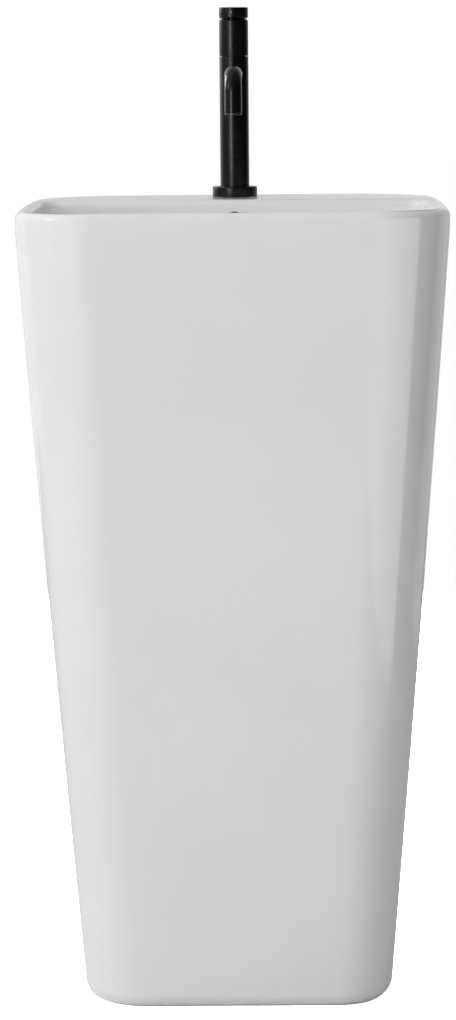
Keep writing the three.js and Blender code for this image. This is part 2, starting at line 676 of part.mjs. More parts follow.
function waste() {
  const group = new THREE.Group();
  group.position.set(0, DRAIN_Y, 0);
  const bore = WASTE_RADIUS + GAP;
  const seat = DRAIN_SEAT_Z;
  const sealBottom = BOSS_Z - 6;
  const nutTop = sealBottom - GAP;
  group.add(part('waste_top_seal', ring(29, bore, seat + GAP, seat + 1.3), RUBBER));
  group.add(wasteBody(), ...plugPieces(), tailpiece(), ...trapPieces());
  group.add(part('waste_bottom_seal', ring(31, bore, sealBottom, BOSS_Z - GAP), RUBBER));
  group.add(part('waste_back_nut', hexNut(60, bore, nutTop - 11.7, nutTop), BRASS));
  return group;
}

// ---------- wall fixings ----------

function wallFixing(side, x) {
  const group = new THREE.Group();
  group.position.set(x, TOP.yBack, WALL_FIXING.z);
  const bore = STUD_RADIUS + GAP;
  const inner = -SHELL_WALL;         // inner face of the back wall, seen from its outer face
  const nutFace = inner - 2 - GAP;
  const stud = rod(STUD_RADIUS, inner - 16, -GAP, 16);
  group.add(part(`wall_stud_${side}`, alongY(stud), STEEL));
  group.add(part(`wall_washer_${side}`, alongY(ring(11, bore, inner - 2, inner - GAP)), STEEL));
  group.add(part(`wall_nut_${side}`, alongY(hexNut(13, bore, nutFace - 6.5, nutFace)), STEEL));
  return group;
}

// ---------- assembly ----------

const sink = new THREE.Group();
sink.add(ceramicBody(), overflowRing(), tap(), waste());
sink.add(wallFixing('left', -WALL_FIXING.x), wallFixing('right', WALL_FIXING.x));

export default sink;
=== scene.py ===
"""Looks of the pedestal sink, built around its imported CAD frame. Metres, +Z up, front towards -Y."""
import json
import math

import bmesh
import bpy
import numpy as np
from mathutils import Matrix, Vector

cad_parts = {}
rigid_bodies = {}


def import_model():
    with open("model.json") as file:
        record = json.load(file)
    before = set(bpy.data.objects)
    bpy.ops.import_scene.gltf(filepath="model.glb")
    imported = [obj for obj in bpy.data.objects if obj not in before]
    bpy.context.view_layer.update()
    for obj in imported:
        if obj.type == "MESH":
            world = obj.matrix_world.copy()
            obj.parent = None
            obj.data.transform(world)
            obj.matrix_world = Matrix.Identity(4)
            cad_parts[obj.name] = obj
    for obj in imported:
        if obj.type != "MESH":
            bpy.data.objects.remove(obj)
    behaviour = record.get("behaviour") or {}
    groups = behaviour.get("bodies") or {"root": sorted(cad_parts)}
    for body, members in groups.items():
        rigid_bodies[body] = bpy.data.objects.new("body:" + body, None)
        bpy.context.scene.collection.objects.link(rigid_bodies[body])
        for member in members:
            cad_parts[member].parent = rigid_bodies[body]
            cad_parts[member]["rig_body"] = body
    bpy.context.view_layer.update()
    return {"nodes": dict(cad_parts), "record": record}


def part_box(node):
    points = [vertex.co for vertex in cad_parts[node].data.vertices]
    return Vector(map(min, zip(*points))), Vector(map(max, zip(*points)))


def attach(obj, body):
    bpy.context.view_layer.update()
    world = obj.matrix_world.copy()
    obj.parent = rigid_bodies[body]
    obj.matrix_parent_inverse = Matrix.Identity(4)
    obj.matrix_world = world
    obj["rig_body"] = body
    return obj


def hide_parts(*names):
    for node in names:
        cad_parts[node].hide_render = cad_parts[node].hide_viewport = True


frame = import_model()
NODES = frame["nodes"]
MM = 0.001
TAU = 2 * math.pi
TINY = 1e-7
SMOOTH = 35     # degrees between two faces, above which the edge they share looks sharp


def box(node):
    low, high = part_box(node)
    return np.array(low), np.array(high)


def middle(node):
    low, high = box(node)
    return (low + high) / 2


def half_width(node):
    low, high = box(node)
    return (high[0] - low[0]) / 2


def heights(node, base=0):
    """Bottom and top of a CAD node above a base height."""
    low, high = box(node)
    return low[2] - base, high[2] - base


def place_of(node, along_y=False):
    """Radius and ends of a turned CAD node, and the point on its axis that the ends are measured from."""
    low, high = box(node)
    axis = 1 if along_y else 2
    centre = middle(node)
    centre[axis] = 0
    return half_width(node), low[axis], high[axis], centre


# ---------- sizes that come from the frame ----------

BODY_LOW, BODY_HIGH = box("ceramic_body")
RIM_Z = BODY_HIGH[2]
TAP_Y = middle("tap_flange")[1]
TAP_R = half_width("tap_body")
GROOVE_BEVEL = 1.7 * MM     # of the groove between the tap's sleeve and its knob
DRAIN_Y = middle("waste_body")[1]
AT_DRAIN = (0, DRAIN_Y, 0)

# ---------- proportions of the ceramic, as in the CAD ----------

RIM_FILLET = 8 * MM
LIP_FILLET = 8 * MM
FOOT_FILLET = 18 * MM
FOOT_WALL = 34 * MM
SHELL_WALL = 14 * MM
BOWL_WALL = 12 * MM
SIDE_SWELL = 1.5 * MM
FRONT_CROWN = 1.2 * MM
TAPER_TOP = 830 * MM
# A plan is a rounded rectangle, and bow is how far its sides draw in from where it is widest.
TOP = dict(half=BODY_HIGH[0], front=BODY_LOW[1], back=BODY_HIGH[1], r_front=80 * MM, r_back=100 * MM,
           bow=6.5 * MM, widest=-20 * MM)
FOOT = dict(half=165.6 * MM, front=-155 * MM, back=BODY_HIGH[1], r_front=59 * MM, r_back=58 * MM,
            bow=3 * MM, widest=30 * MM)
BOWL = dict(half=211 * MM, front=-198 * MM, back=80 * MM, r_front=62 * MM, r_back=20 * MM,
            bow=4 * MM, widest=-20 * MM)
# Depths under the rim, and how far the bowl's wall has drawn in there, in millimetres.
BOWL_LEVELS = [(8, 0), (42, 0), (75, 6), (102, 17), (120, 32), (131, 50), (138, 74)]
SEAT_Z = RIM_Z - 148 * MM
SEAT_R = 33 * MM
BOSS_R = 45 * MM
BOSS_Z = SEAT_Z - 32 * MM
DRAIN_R = 23 * MM
TAP_HOLE_R = 18 * MM
OVERFLOW_HOLE_R = 10.5 * MM
WALL_HOLE_R = 5.5 * MM
SHANK_HOLE_R = 16.1 * MM     # of the washers and the nut on the tap's shank
CORNER_STEPS = 20
SIDE_STEPS = 10


# ---------- mesh helpers ----------

def new_object(name, vertices, faces, material, smooth_angle=SMOOTH):
    mesh = bpy.data.meshes.new(name)
    mesh.from_pydata([tuple(v) for v in vertices], [], faces)
    mesh.validate()
    mesh.materials.append(material)
    obj = bpy.data.objects.new(name, mesh)
    bpy.context.scene.collection.objects.link(obj)
    finish_mesh(obj, smooth_angle)
    return obj


def finish_mesh(obj, smooth_angle=SMOOTH):
    work = bmesh.new()
    work.from_mesh(obj.data)
    bmesh.ops.remove_doubles(work, verts=work.verts, dist=1e-6)
    bmesh.ops.recalc_face_normals(work, faces=work.faces)
    work.to_mesh(obj.data)
    work.free()
    obj.data.shade_smooth()
    obj.data.set_sharp_from_angle(angle=math.radians(smooth_angle))


def rounded(points, steps=6):
    """Polyline of (r, z, fillet) points with each corner rounded by its fillet."""
    result = []
    count = len(points)
    most = 0.49     # of an edge, that the fillet at either end of it may take
    for i, (r, z, fillet) in enumerate(points):
        here = np.array([r, z])
        if fillet <= 0 or i in (0, count - 1):
            result.append(here)
            continue
        before = np.array(points[i - 1][:2]) - here
        after = np.array(points[i + 1][:2]) - here
        a, b = np.linalg.norm(before), np.linalg.norm(after)
        before, after = before / a, after / b
        angle = math.acos(np.clip(before @ after, -1, 1))
        reach = min(fillet / math.tan(angle / 2), most * a, most * b)
        radius = reach * math.tan(angle / 2)
        inwards = before + after
        centre = here + inwards / np.linalg.norm(inwards) * radius / math.sin(angle / 2)
        start, end = here + before * reach - centre, here + after * reach - centre
        sweep = math.atan2(start[0] * end[1] - start[1] * end[0], start @ end)
        for step in range(steps + 1):
            turn = sweep * step / steps
            c, s = math.cos(turn), math.sin(turn)
            result.append(centre + np.array([c * start[0] - s * start[1], s * start[0] + c * start[1]]))
    return result


def subdivided(profile, step):
    """The same polyline with no part of it longer than step."""
    result = [profile[0]]
    for start, end in zip(profile, profile[1:]):
        pieces = math.ceil(np.linalg.norm(end - start) / step)
        result += [start + (end - start) * (i + 1) / pieces for i in range(pieces)]
    return result


def lathe_data(profile, segments, relief):
    """Vertices and faces of a profile turned about Z. A profile off the axis closes on itself.

    A relief is a function of radius, height and angle that gives the depth cut into the turned surface.
    """
    vertices, rings, faces = [], [], []
    for r, z in profile:
        if r < TINY:
            rings.append([len(vertices)] * segments)
            vertices.append((0, 0, z))
            continue
        first = len(vertices)
        rings.append(list(range(first, first + segments)))
        for i in range(segments):
            angle = TAU * i / segments
            radius = r - relief(r, z, angle) if relief else r
            vertices.append((radius * math.cos(angle), radius * math.sin(angle), z))
    on_axis = profile[0][0] < TINY
    pairs = zip(rings, rings[1:]) if on_axis else zip(rings, rings[1:] + rings[:1])
    for low, high in pairs:
        for i in range(segments):
            j = (i + 1) % segments
            face = list(dict.fromkeys([low[i], low[j], high[j], high[i]]))
            if len(face) > 2:
                faces.append(face)
    return vertices, faces


def lathe(name, points, material, centre, turn=None, segments=96, smooth_angle=SMOOTH, relief=None,
          step=1 * MM):
    """Turned piece from (r, z, fillet) points, placed at centre after an optional turn."""
    profile = rounded([(*p, 0)[:3] for p in points])
    if relief:
        profile = subdivided(profile, step)
    if points[0][0] > 0 and np.allclose(profile[0], profile[-1]):
        profile = profile[:-1]
    vertices, faces = lathe_data(profile, segments, relief)
    matrix = Matrix.Translation(centre) @ (turn or Matrix.Identity(4))
    placed = [matrix @ Vector(v) for v in vertices]
    return new_object(name, placed, faces, material, smooth_angle)


ALONG_Y = Matrix.Rotation(-math.pi / 2, 4, "X")


def cut(obj, cutters, operation="DIFFERENCE"):
    """Applies a boolean of obj with each cutter and removes the cutters."""
    for cutter in cutters:
        modifier = obj.modifiers.new("cut", "BOOLEAN")
        modifier.operation = operation
        modifier.solver = "EXACT"
        modifier.material_mode = "TRANSFER"
        modifier.object = cutter
    apply_modifiers(obj)
    for cutter in cutters:
        bpy.data.objects.remove(cutter)


def apply_modifiers(obj):
    bpy.context.view_layer.update()
    evaluated = obj.evaluated_get(bpy.context.evaluated_depsgraph_get())
    mesh = bpy.data.meshes.new_from_object(evaluated)
    old = obj.data
    obj.modifiers.clear()
    obj.data = mesh
    mesh.name = obj.name
    bpy.data.meshes.remove(old)


def block(name, half, centre, material):
    """Box that only serves to cut into or to join onto another piece."""
    signs = [(x, y, z) for z in (-1, 1) for y in (-1, 1) for x in (-1, 1)]
    vertices = [np.array(centre) + np.array(half) * np.array(sign) for sign in signs]
    faces = [[0, 2, 3, 1], [4, 5, 7, 6], [0, 1, 5, 4], [2, 6, 7, 3], [0, 4, 6, 2], [1, 3, 7, 5]]
    return new_object(name, vertices, faces, material)


def off_surface(r, outer):
    """Whether a radius lies inside the outer one, where a relief of the outside cuts nothing."""
    tolerance = 0.05 * MM
    return r < outer - tolerance


def thread(outer, pitch, depth, low, high):
    """Relief of a screw thread on the outside between two heights."""
    def relief(r, z, angle):
        if off_surface(r, outer) or not low < z < high:
            return 0
        run_out = min(1, (z - low) / pitch, (high - z) / pitch)
        return depth * run_out * (0.5 - 0.5 * math.cos(TAU * z / pitch - angle))
    return relief


def hexagon(corner):
    """Relief that leaves six flats, with the corners of the hexagon at this radius."""
    def relief(r, _, angle):
        off_flat = angle % (math.pi / 3) - math.pi / 6
        return max(0, r - corner * math.cos(math.pi / 6) / math.cos(off_flat))
    return relief


def ribs(outer, count, depth, low, high):
    """Relief of upright grip ribs on the outside between two heights."""
    def relief(r, z, angle):
        if off_surface(r, outer) or not low < z < high:
            return 0
        return depth * (0.5 - 0.5 * math.cos(count * angle)) ** 0.5
    return relief


def braid(outer, strands, pitch, depth):
    """Relief of a woven sleeve, with strands that wind both ways round it."""
    def relief(r, z, angle):
        if off_surface(r, outer):
            return 0
        turn = TAU * z / pitch
        return depth * abs(math.sin(strands / 2 * angle + turn) * math.sin(strands / 2 * angle - turn))
    return relief


# ---------- materials ----------

def shader(name):
    material = bpy.data.materials.new(name)
    material.use_nodes = True
    tree = material.node_tree
    return material, tree, tree.nodes["Principled BSDF"]


def noise(tree, scale, detail=4.0, roughness=0.5, stretch=(1, 1, 1)):
    coordinates = tree.nodes.new("ShaderNodeTexCoord")
    mapping = tree.nodes.new("ShaderNodeMapping")
    mapping.inputs["Scale"].default_value = stretch
    texture = tree.nodes.new("ShaderNodeTexNoise")
    texture.inputs["Scale"].default_value = scale
    texture.inputs["Detail"].default_value = detail
    texture.inputs["Roughness"].default_value = roughness
    tree.links.new(coordinates.outputs["Object"], mapping.inputs["Vector"])
    tree.links.new(mapping.outputs["Vector"], texture.inputs["Vector"])
    return texture.outputs["Fac"]


def spread(tree, value, low, high, start=0.3, end=0.7):
    """Maps a texture value from start..end to low..high."""
    node = tree.nodes.new("ShaderNodeMapRange")
    node.inputs["From Min"].default_value = start
    node.inputs["From Max"].default_value = end
    node.inputs["To Min"].default_value = low
    node.inputs["To Max"].default_value = high
    tree.links.new(value, node.inputs["Value"])
    return node.outputs["Result"]


def blend_colour(tree, value, low, high, start=0.35, end=0.65):
    ramp = tree.nodes.new("ShaderNodeValToRGB")
    ramp.color_ramp.elements[0].position = start
    ramp.color_ramp.elements[0].color = (*low, 1)
    ramp.color_ramp.elements[1].position = end
    ramp.color_ramp.elements[1].color = (*high, 1)
    tree.links.new(value, ramp.inputs["Fac"])
    return ramp.outputs["Color"]


def bump(tree, principled, layers):
    """Chains (texture value, depth in metres) bump layers into the shader's normal."""
    previous = None
    for value, distance in layers:
        node = tree.nodes.new("ShaderNodeBump")
        node.inputs["Strength"].default_value = 1
        node.inputs["Distance"].default_value = distance
        tree.links.new(value, node.inputs["Height"])
        if previous is not None:
            tree.links.new(previous, node.inputs["Normal"])
        previous = node.outputs["Normal"]
    tree.links.new(previous, principled.inputs["Normal"])


def vary(tree, principled, texture, dark, light):
    """Colours a shader between two colours by a texture value."""
    tree.links.new(blend_colour(tree, texture, dark, light), principled.inputs["Base Color"])


def roughen(tree, principled, texture, low, high):
    tree.links.new(spread(tree, texture, low, high), principled.inputs["Roughness"])


def glaze():
    material, tree, principled = shader("white_glaze")
    vary(tree, principled, noise(tree, 7, 3), (0.83, 0.83, 0.828), (0.85, 0.85, 0.848))
    roughen(tree, principled, noise(tree, 30, 3), 0.07, 0.13)
    principled.inputs["IOR"].default_value = 1.5
    bump(tree, principled, [(noise(tree, 9, 2), 0.5 * MM), (noise(tree, 700, 2), 0.004 * MM)])
    return material


def raw_ceramic():
    material, tree, principled = shader("raw_ceramic")
    patches = noise(tree, 14, 5, 0.6)
    vary(tree, principled, patches, (0.62, 0.58, 0.5), (0.76, 0.73, 0.67))
    roughen(tree, principled, patches, 0.9, 0.55)
    bump(tree, principled, [(noise(tree, 60, 6), 0.5 * MM), (noise(tree, 1500, 3), 0.04 * MM)])
    return material


def dark_metal(name, dark, light, low, high):
    """Dark plated finish: a fine mottle in its colour, sheen and surface."""
    material, tree, principled = shader(name)
    vary(tree, principled, noise(tree, 1800, 2), (dark,) * 3, (light,) * 3)
    roughen(tree, principled, noise(tree, 260, 4), low, high)
    principled.inputs["Metallic"].default_value = 1
    bump(tree, principled, [(noise(tree, 2600, 2), 0.002 * MM)])
    return material


def metal(name, low, high, roughness, brushed):
    material, tree, principled = shader(name)
    streaks = noise(tree, 500, 5, 0.6, brushed)
    vary(tree, principled, streaks, low, high)
    roughen(tree, principled, streaks, *roughness)
    principled.inputs["Metallic"].default_value = 1
    bump(tree, principled, [(streaks, 0.01 * MM)])
    return material


def rubber():
    material, tree, principled = shader("black_rubber")
    specks = noise(tree, 1200, 4)
    vary(tree, principled, specks, (0.012, 0.012, 0.012), (0.03, 0.03, 0.029))
    roughen(tree, principled, noise(tree, 90, 3), 0.62, 0.85)
    bump(tree, principled, [(specks, 0.03 * MM)])
    return material


def plastic():
    material, tree, principled = shader("white_plastic")
    vary(tree, principled, noise(tree, 40, 3), (0.72, 0.72, 0.7), (0.8, 0.8, 0.785))
    roughen(tree, principled, noise(tree, 200, 3), 0.28, 0.42)
    bump(tree, principled, [(noise(tree, 1100, 2), 0.01 * MM)])
    return material


GLAZE = glaze()
RAW = raw_ceramic()
BLACK = dark_metal("satin_black", 0.032, 0.042, 0.26, 0.33)
GREY = dark_metal("dark_satin_metal", 0.1, 0.14, 0.3, 0.42)
BRASS = metal("machined_brass", (0.52, 0.36, 0.14), (0.7, 0.52, 0.25), (0.2, 0.38), (1, 1, 12))
STEEL = metal("brushed_steel", (0.5, 0.51, 0.52), (0.66, 0.67, 0.68), (0.18, 0.34), (1, 1, 14))
RUBBER = rubber()
PLASTIC = plastic()
SLOT_MATERIALS = {
    "white_glaze": GLAZE, "black_metal": BLACK, "brass": BRASS, "steel": STEEL, "rubber": RUBBER,
    "white_plastic": PLASTIC, "grey_metal": GREY,
}
SLOT_OF = {s["node"]: s["material_slot"] for s in frame["record"]["subparts"]}


def stands_for(obj, node):
    """obj is shown in place of the CAD node, on its body."""
    body = NODES[node]["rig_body"]
    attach(obj, body)
    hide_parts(node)


def turned_piece(name, node, points, centre, turn=None, segments=128, **surface):
    """Turned piece in the place, and in the material, of a CAD node."""
    material = SLOT_MATERIALS[SLOT_OF[node]]
    stands_for(lathe(name, points, material, centre, turn, segments, **surface), node)


# ---------- ceramic ----------

def outline(half, front, back, r_front, r_back, bow=0.0, widest=0.0, crown=0.0):
    """Rounded rectangle with bowed sides and a crowned front, anticlockwise from the front right corner."""
    corners = [
        (half - r_front, front + r_front, r_front), (half - r_back, back - r_back, r_back),
        (-half + r_back, back - r_back, r_back), (-half + r_front, front + r_front, r_front),
    ]
    arcs = []
    for corner, (x, y, r) in enumerate(corners):
        angles = (corner - 1) * math.pi / 2 + np.linspace(0, math.pi / 2, CORNER_STEPS + 1)
        arcs.append(np.c_[x + r * np.cos(angles), y + r * np.sin(angles)])
    points = []
    for corner, arc in enumerate(arcs):
        start, end = arc[-1], arcs[(corner + 1) % 4][0]
        along = np.linspace(0, 1, SIDE_STEPS + 1)[1:-1, None]
        points += [arc, start + (end - start) * along]
    points = np.vstack(points)
    # Bow and crown only draw points inwards, so the outline never leaves its own rectangle.
    in_front = points[:, 1] < (front + back) / 2
    points[:, 1] += np.where(in_front, crown * (points[:, 0] / half) ** 2, 0)
    points[:, 0] *= 1 - bow / half * ((points[:, 1] - widest) / ((back - front) / 2)) ** 2
    return points


def shell_outline(z, inset):
    t = min(1.0, max(0.0, z / TAPER_TOP))
    mixed = {key: FOOT[key] + (TOP[key] - FOOT[key]) * t for key in TOP}
    return outline(
        mixed["half"] + SIDE_SWELL * 4 * t * (1 - t) - inset, mixed["front"] + inset,
        mixed["back"] - inset, mixed["r_front"] - inset, mixed["r_back"] - inset,
        mixed["bow"], mixed["widest"], FRONT_CROWN,
    )


def bowl_outline(inset):
    easing = 0.2
    return outline(
        BOWL["half"] - inset, BOWL["front"] + inset, BOWL["back"] - inset,
        BOWL["r_front"] - easing * inset, BOWL["r_back"] + easing * inset, BOWL["bow"], BOWL["widest"],
    )


def circle_outline(radius):
    return outline(radius, DRAIN_Y - radius, DRAIN_Y + radius, radius, radius)


def row(points, z):
    return np.c_[points, np.full(len(points), z)]


def bowl_rows(thickness=0.0):
    """Rows of the bowl's wall from just under the lip down to the drain seat."""
    depths, insets = np.array(BOWL_LEVELS).T * MM
    seat_depth = RIM_Z - SEAT_Z
    wall_rows, floor_rows, kept_rows, rounds = 30, 14, 6, 12
    rows = []
    for depth in np.linspace(depths[0], depths[-1], wall_rows):
        inset = np.interp(depth, depths, insets)
        drop = depth * (1 + thickness / seat_depth)
        rows.append(row(bowl_outline(inset - thickness), RIM_Z - drop))
    last = rows[-1]
    seat = row(circle_outline(SEAT_R + thickness), SEAT_Z - thickness)
    for share in np.linspace(0, 1, floor_rows + 1)[1:]:
        fall = 1 - (1 - share) ** 1.5
        mixed = last + (seat - last) * share
        mixed[:, 2] = last[:, 2] + (seat[:, 2] - last[:, 2]) * fall
        rows.append(mixed)
    rows = np.array(rows)
    for _ in range(rounds):
        above, here, below = rows[kept_rows - 1:-2], rows[kept_rows:-1], rows[kept_rows + 1:]
        rows[kept_rows:-1] = (above + 2 * here + below) / 4
    return rows


def loft(name, rows, material):
    """Closed skin over rows of equally many points, capped at both ends."""
    count = len(rows[0])
    faces = []
    for level in range(len(rows) - 1):
        for i in range(count):
            j = (i + 1) % count
            a, b = level * count, (level + 1) * count
            faces.append([a + i, a + j, b + j, b + i])
    faces.append(list(range(count))[::-1])
    faces.append([(len(rows) - 1) * count + i for i in range(count)])
    return new_object(name, np.vstack(rows), faces, material)


def quarter(steps):
    return np.linspace(0, math.pi / 2, steps + 1)


def ceramic_block():
    """The outside, rim, deck and bowl as one smooth skin, still solid inside."""
    rows = [row(shell_outline(0, FOOT_WALL), 0)]
    for a in quarter(10):
        z = FOOT_FILLET * (1 - math.cos(a))
        rows.append(row(shell_outline(z, FOOT_FILLET * (1 - math.sin(a))), z))
    shaft_top = RIM_Z - RIM_FILLET
    levels = [*np.linspace(FOOT_FILLET, TAPER_TOP - 20 * MM, 30)[1:],
              *np.linspace(TAPER_TOP - 16 * MM, shaft_top, 7)]
    for z in levels:
        rows.append(row(shell_outline(z, 0), z))
    for a in quarter(9)[1:]:
        z = shaft_top + RIM_FILLET * math.sin(a)
        rows.append(row(shell_outline(z, RIM_FILLET * (1 - math.cos(a))), z))
    rows.append(row(shell_outline(RIM_Z, RIM_FILLET + 0.2 * MM), RIM_Z))
    rows.append(row(bowl_outline(-LIP_FILLET - 0.2 * MM), RIM_Z))
    for a in quarter(8):
        z = RIM_Z - LIP_FILLET * (1 - math.cos(a))
        rows.append(row(bowl_outline(-LIP_FILLET * (1 - math.sin(a))), z))
    rows += list(bowl_rows())[1:]
    return loft("ceramic_sink", rows, GLAZE)


def hollow_cutter():
    """The space inside the casting, narrow in the foot ring and clear of the bowl and the duct."""
    ceiling = RIM_Z - SHELL_WALL
    ring_top, bend_start, bend, bend_end, fillet = 22 * MM, 25 * MM, 35 * MM, 60 * MM, 6 * MM
    rows = [row(shell_outline(0, FOOT_WALL), z) for z in (-5 * MM, ring_top)]
    for a in quarter(8):
        z = bend_start + bend * (1 - math.cos(a))
        inset = SHELL_WALL + (FOOT_WALL - SHELL_WALL) * (1 - math.sin(a))
        rows.append(row(shell_outline(z, inset), z))
    for z in np.linspace(bend_end, ceiling - fillet, 20)[1:]:
        rows.append(row(shell_outline(z, SHELL_WALL), z))
    for a in quarter(6)[1:]:
        z = ceiling - fillet + fillet * math.sin(a)
        rows.append(row(shell_outline(z, SHELL_WALL + fillet * (1 - math.cos(a))), z))
    cutter = loft("hollow", rows, RAW)
    around = list(bowl_rows(BOWL_WALL))[::-1] + [row(bowl_outline(-LIP_FILLET - BOWL_WALL), RIM_Z + 5 * MM)]
    boss = lathe("boss", [(0, BOSS_Z), (BOSS_R, BOSS_Z, 2 * MM), (BOSS_R, SEAT_Z), (0, SEAT_Z)], RAW,
                 AT_DRAIN)
    cut(cutter, [loft("around_bowl", around, RAW), boss, duct("duct_outside", 13 * MM, 22 * MM)])
    return cutter


def duct(name, half_deep, half_wide):
    """Overflow duct behind the bowl: a band round a curve through (y, z) points down to the drain."""
    way = np.array([
        (99, 838), (98, 800), (92, 764), (82, 734), (67, 711), (46, 699), (21, 691), (-8, 686),
        (DRAIN_Y / MM + 21, 684),
    ]) * MM
    stretches, steps = len(way) - 1, 48
    centre = np.array([catmull(way, t) for t in np.linspace(0, stretches, steps + 1)])
    tangent = np.gradient(centre, axis=0)
    tangent /= np.linalg.norm(tangent, axis=1)[:, None]
    normal = np.c_[tangent[:, 1], -tangent[:, 0]] * half_deep
    rows = []
    for here, offset in zip(centre, normal):
        (y0, z0), (y1, z1) = here - offset, here + offset
        rows.append([(-half_wide, y0, z0), (half_wide, y0, z0), (half_wide, y1, z1), (-half_wide, y1, z1)])
    return loft(name, np.array(rows), RAW)


def catmull(points, t):
    i = min(int(t), len(points) - 2)
    u = t - i
    p0, p1 = points[max(i - 1, 0)], points[i]
    p2, p3 = points[i + 1], points[min(i + 2, len(points) - 1)]
    return 0.5 * (2 * p1 + (p2 - p0) * u + (2 * p0 - 5 * p1 + 4 * p2 - p3) * u ** 2
                  + (3 * p1 - p0 - 3 * p2 + p3) * u ** 3)


def service_cutter():
    """Cuts the opening in the back wall, flared at both faces so that its edges are round."""
    half, low, high, radius, edge = 90 * MM, 90 * MM, 770 * MM, 40 * MM, 4 * MM
    back = BODY_HIGH[1]
    stations = [(-edge, edge)]
    stations += [(edge * (1 - math.cos(a)), edge * (1 - math.sin(a))) for a in quarter(6)]
    stations += [(SHELL_WALL - depth, flare) for depth, flare in stations[:0:-1]]
    stations += [(SHELL_WALL + edge, edge)]
    rows = []
    for depth, flare in stations:
        grown = outline(half + flare, low - flare, high + flare, radius + flare, radius + flare)
        rows.append(np.c_[grown[:, 0], np.full(len(grown), back - depth), grown[:, 1]])
    return loft("service_opening", np.array(rows), GLAZE)


def hole_cutter(name, radius, start, end, centre, turn=None, lips=True):
    """Cutter for a round hole from start to end along its axis, with rounded edges at both faces."""
    reach, edge = 5 * MM, 1 * MM
    points = [(0, start - reach)]
    if lips:
        points += [(radius + edge, start - reach), (radius + edge, start)]
        points += [(radius + edge * (1 - math.sin(a)), start + edge * (1 - math.cos(a)))
                   for a in quarter(4)[1:]]
        points += [(radius + edge * (1 - math.cos(a)), end - edge * (1 - math.sin(a))) for a in quarter(4)]
        points += [(radius + edge, end + reach)]
    else:
        points += [(radius, start - reach), (radius, end + reach)]
    points += [(0, end + reach)]
    return lathe(name, points, RAW, centre, turn, 64)


def ceramic():
    body = ceramic_block()
    cut(body, [hollow_cutter()])
    cutters = [duct("duct_inside", 7 * MM, 16 * MM), service_cutter()]
    cutters.append(hole_cutter("drain_hole", DRAIN_R, BOSS_Z, SEAT_Z, AT_DRAIN))
    cutters.append(hole_cutter("tap_hole", TAP_HOLE_R, RIM_Z - SHELL_WALL, RIM_Z, (0, TAP_Y, 0)))
    cutters.append(hole_cutter("overflow_hole", OVERFLOW_HOLE_R, BOWL["back"], BOWL["back"] + BOWL_WALL,
                               (0, 0, middle("overflow_ring")[2]), ALONG_Y, lips=False))
    back = BODY_HIGH[1]
    for side in ("left", "right"):
        x, _, z = middle(f"wall_stud_{side}")
        cutters.append(hole_cutter("wall_hole", WALL_HOLE_R, back - SHELL_WALL, back, (x, 0, z), ALONG_Y))
    cut(body, cutters)
    finish_mesh(body)
    stands_for(body, "ceramic_body")


# ---------- tap ----------

def tap_pieces():
    centre = (0, TAP_Y, RIM_Z)
    flange_r, flange_bore = half_width("tap_flange"), TAP_R + 0.3 * MM
    _, flange_top = heights("tap_flange", RIM_Z)
    recess_r, recess_top, underside = 23.3 * MM, 2 * MM, 0.3 * MM
    turned_piece("tap_base_flange", "tap_flange", [
        (flange_bore, recess_top), (recess_r, recess_top), (recess_r, underside),
        (flange_r, underside, 0.5 * MM), (flange_r, flange_top, 1.1 * MM),
        (flange_bore, flange_top, 0.4 * MM), (flange_bore, recess_top),
    ], centre)

    _, top = heights("tap_body", RIM_Z)
    bottom, shoulder, hollow_floor = 4 * MM, 156.2 * MM, 152 * MM
    neck_r, hollow_r = 13.2 * MM, 11.3 * MM
    turned_piece("tap_column", "tap_body", [
        (0, bottom), (TAP_R, bottom), (TAP_R, shoulder, 0.25 * MM), (neck_r, shoulder),
        (neck_r, top, 0.3 * MM), (hollow_r, top), (hollow_r, hollow_floor), (0, hollow_floor),
    ], centre)

    bottom, top = heights("tap_sleeve", RIM_Z)
    sleeve_bore = 13.5 * MM
    turned_piece("tap_upper_sleeve", "tap_sleeve", [
        (sleeve_bore, bottom), (TAP_R, bottom, 0.25 * MM), (TAP_R, top - GROOVE_BEVEL, 0.3 * MM),
        (TAP_R - GROOVE_BEVEL, top, 0.2 * MM), (sleeve_bore, top), (sleeve_bore, bottom),
    ], centre)
    knob_pieces(centre)


